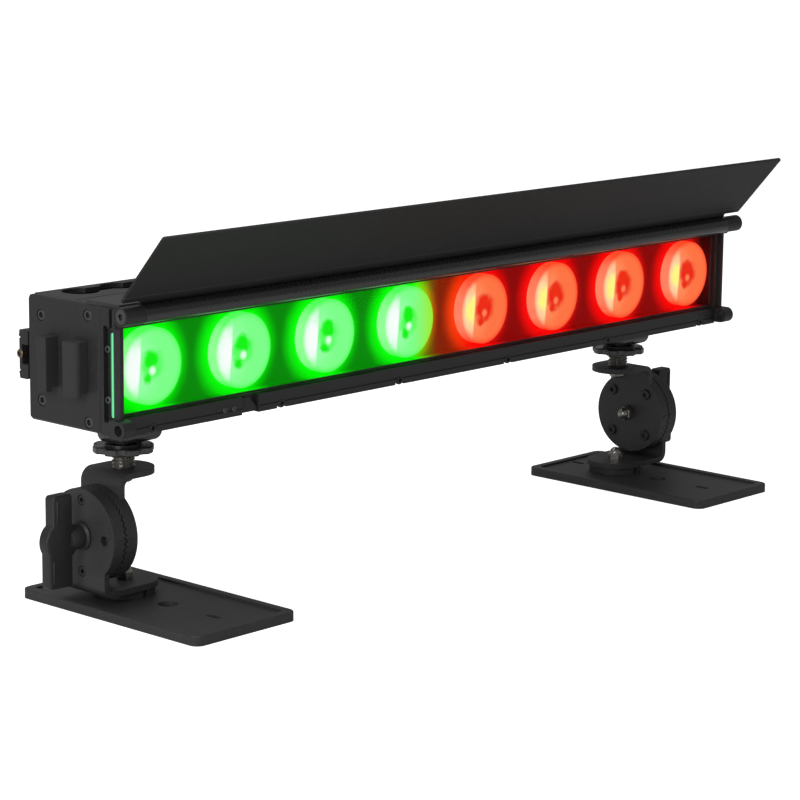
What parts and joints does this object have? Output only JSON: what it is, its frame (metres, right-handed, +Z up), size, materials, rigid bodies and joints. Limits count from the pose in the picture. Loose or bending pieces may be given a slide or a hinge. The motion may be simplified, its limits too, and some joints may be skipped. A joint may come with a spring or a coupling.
{
  "type": "led pixel bar",
  "caption": "Bar light with a row of round lit pixels behind one window, a hinged flap along its top edge, slotted tracks and two tilting floor stands.",
  "frame": {"origin": "on the floor, midway between the two stands and midway along a base plate", "axes": "+X along the bar to the right seen from its window, +Y from the window to the rear, +Z up"},
  "size_m": [0.5146, 0.1324, 0.2016],
  "materials": {
    "black_metal": "fine black powder coat",
    "black_anodised": "black anodised, satin",
    "stand_metal": "dark grey powder coat",
    "knob_plastic": "moulded, matt",
    "steel": "bright zinc",
    "rubber": "matt",
    "glass": "clear float",
    "lens": "clear moulded",
    "board": "white solder mask",
    "emitter": "phosphor dome",
    "tray": "moulded, matt",
    "battery": "shrink wrap",
    "display": "dark window",
    "inlet": "moulded"
  },
  "bodies": {
    "bar": {"battery_pack": "battery", "bottom_rail": "black_anodised", "bottom_rail_short": "black_anodised", "bottom_track": "black_anodised", "bracket_screws": "steel", "catch_block": "black_metal", "control_panel": "black_metal", "display_window": "display", "driver_board": "board", "end_bumpers": "rubber", "end_cap_screws": "steel", "eye_lugs": "black_metal", "front_glass": "glass", "hinge_pins": "steel", "housing": "black_anodised", "keypad_mat": "rubber", "led_board": "board", "led_emitters": "emitter", "left_door_bracket": "black_metal", "left_end_cap": "black_metal", "lens_tray": "tray", "lenses": "lens", "lug_pins": "steel", "power_inlet": "inlet", "rail_screws": "steel", "right_door_bracket": "black_metal", "right_end_cap": "black_metal", "top_plate": "black_anodised", "top_track": "black_anodised", "window_gasket": "rubber"},
    "flap": {"hinge_tube": "black_anodised", "flap": "black_metal"},
    "button_1": {"button_1": "rubber"},
    "button_2": {"button_2": "rubber"},
    "button_3": {"button_3": "rubber"},
    "button_4": {"button_4": "rubber"},
    "left_carriage": {"left_track_fitting": "stand_metal", "left_stud": "steel", "left_upper_bracket": "stand_metal", "left_upper_disc": "stand_metal", "left_tilt_bolt": "steel"},
    "left_knob": {"left_star_knob": "knob_plastic"},
    "left_handle": {"left_wing_handle": "knob_plastic"},
    "left_foot": {"left_lower_disc": "stand_metal", "left_lower_bracket": "stand_metal", "left_spacer_disc": "stand_metal", "left_swivel_bolt": "steel"},
    "left_base": {"left_base_plate": "stand_metal"},
    "right_carriage": {"right_track_fitting": "stand_metal", "right_stud": "steel", "right_upper_bracket": "stand_metal", "right_upper_disc": "stand_metal", "right_tilt_bolt": "steel"},
    "right_knob": {"right_star_knob": "knob_plastic"},
    "right_handle": {"right_wing_handle": "knob_plastic"},
    "right_foot": {"right_lower_disc": "stand_metal", "right_lower_bracket": "stand_metal", "right_spacer_disc": "stand_metal", "right_swivel_bolt": "steel"},
    "right_base": {"right_base_plate": "stand_metal"}
  },
  "joints": [
    {"name": "flap_hinge", "type": "hinge", "parent": "bar", "child": "flap", "pos_m": [0, -0.02633, 0.15927], "axis": [1, 0, 0], "range_deg": [-40, 138]},
    {"name": "button_1_press", "type": "slide", "parent": "bar", "child": "button_1", "axis": [0, -1, 0], "range_m": [0, 0.0008], "stiffness_N_per_m": 400, "springref_m": -0.0008},
    {"name": "button_2_press", "type": "slide", "parent": "bar", "child": "button_2", "axis": [0, -1, 0], "range_m": [0, 0.0008], "stiffness_N_per_m": 400, "springref_m": -0.0008},
    {"name": "button_3_press", "type": "slide", "parent": "bar", "child": "button_3", "axis": [0, -1, 0], "range_m": [0, 0.0008], "stiffness_N_per_m": 400, "springref_m": -0.0008},
    {"name": "button_4_press", "type": "slide", "parent": "bar", "child": "button_4", "axis": [0, -1, 0], "range_m": [0, 0.0008], "stiffness_N_per_m": 400, "springref_m": -0.0008},
    {"name": "left_track_slide", "type": "slide", "parent": "bar", "child": "left_carriage", "axis": [1, 0, 0], "range_m": [0, 0.1016]},
    {"name": "left_knob_turn", "type": "hinge", "parent": "left_carriage", "child": "left_knob", "pos_m": [-0.2032, 0.0249, 0.09825], "axis": [0, 0, 1], "continuous": true},
    {"name": "left_tilt", "type": "hinge", "parent": "left_carriage", "child": "left_foot", "pos_m": [-0.2032, 0.0249, 0.0389], "axis": [1, 0, 0], "range_deg": [-60, 90]},
    {"name": "left_handle_turn", "type": "hinge", "parent": "left_carriage", "child": "left_handle", "pos_m": [-0.2032, 0.0249, 0.0389], "axis": [-1, 0, 0], "continuous": true},
    {"name": "left_base_swivel", "type": "hinge", "parent": "left_foot", "child": "left_base", "pos_m": [-0.2032, 0.0249, 0], "axis": [0, 0, 1], "continuous": true},
    {"name": "right_track_slide", "type": "slide", "parent": "bar", "child": "right_carriage", "axis": [-1, 0, 0], "range_m": [0, 0.1016]},
    {"name": "right_knob_turn", "type": "hinge", "parent": "right_carriage", "child": "right_knob", "pos_m": [0.2032, 0.0249, 0.09825], "axis": [0, 0, 1], "continuous": true},
    {"name": "right_tilt", "type": "hinge", "parent": "right_carriage", "child": "right_foot", "pos_m": [0.2032, 0.0249, 0.0389], "axis": [1, 0, 0], "range_deg": [-60, 90]},
    {"name": "right_handle_turn", "type": "hinge", "parent": "right_carriage", "child": "right_handle", "pos_m": [0.2032, 0.0249, 0.0389], "axis": [1, 0, 0], "continuous": true},
    {"name": "right_base_swivel", "type": "hinge", "parent": "right_foot", "child": "right_base", "pos_m": [0.2032, 0.0249, 0], "axis": [0, 0, 1], "continuous": true}
  ]
}
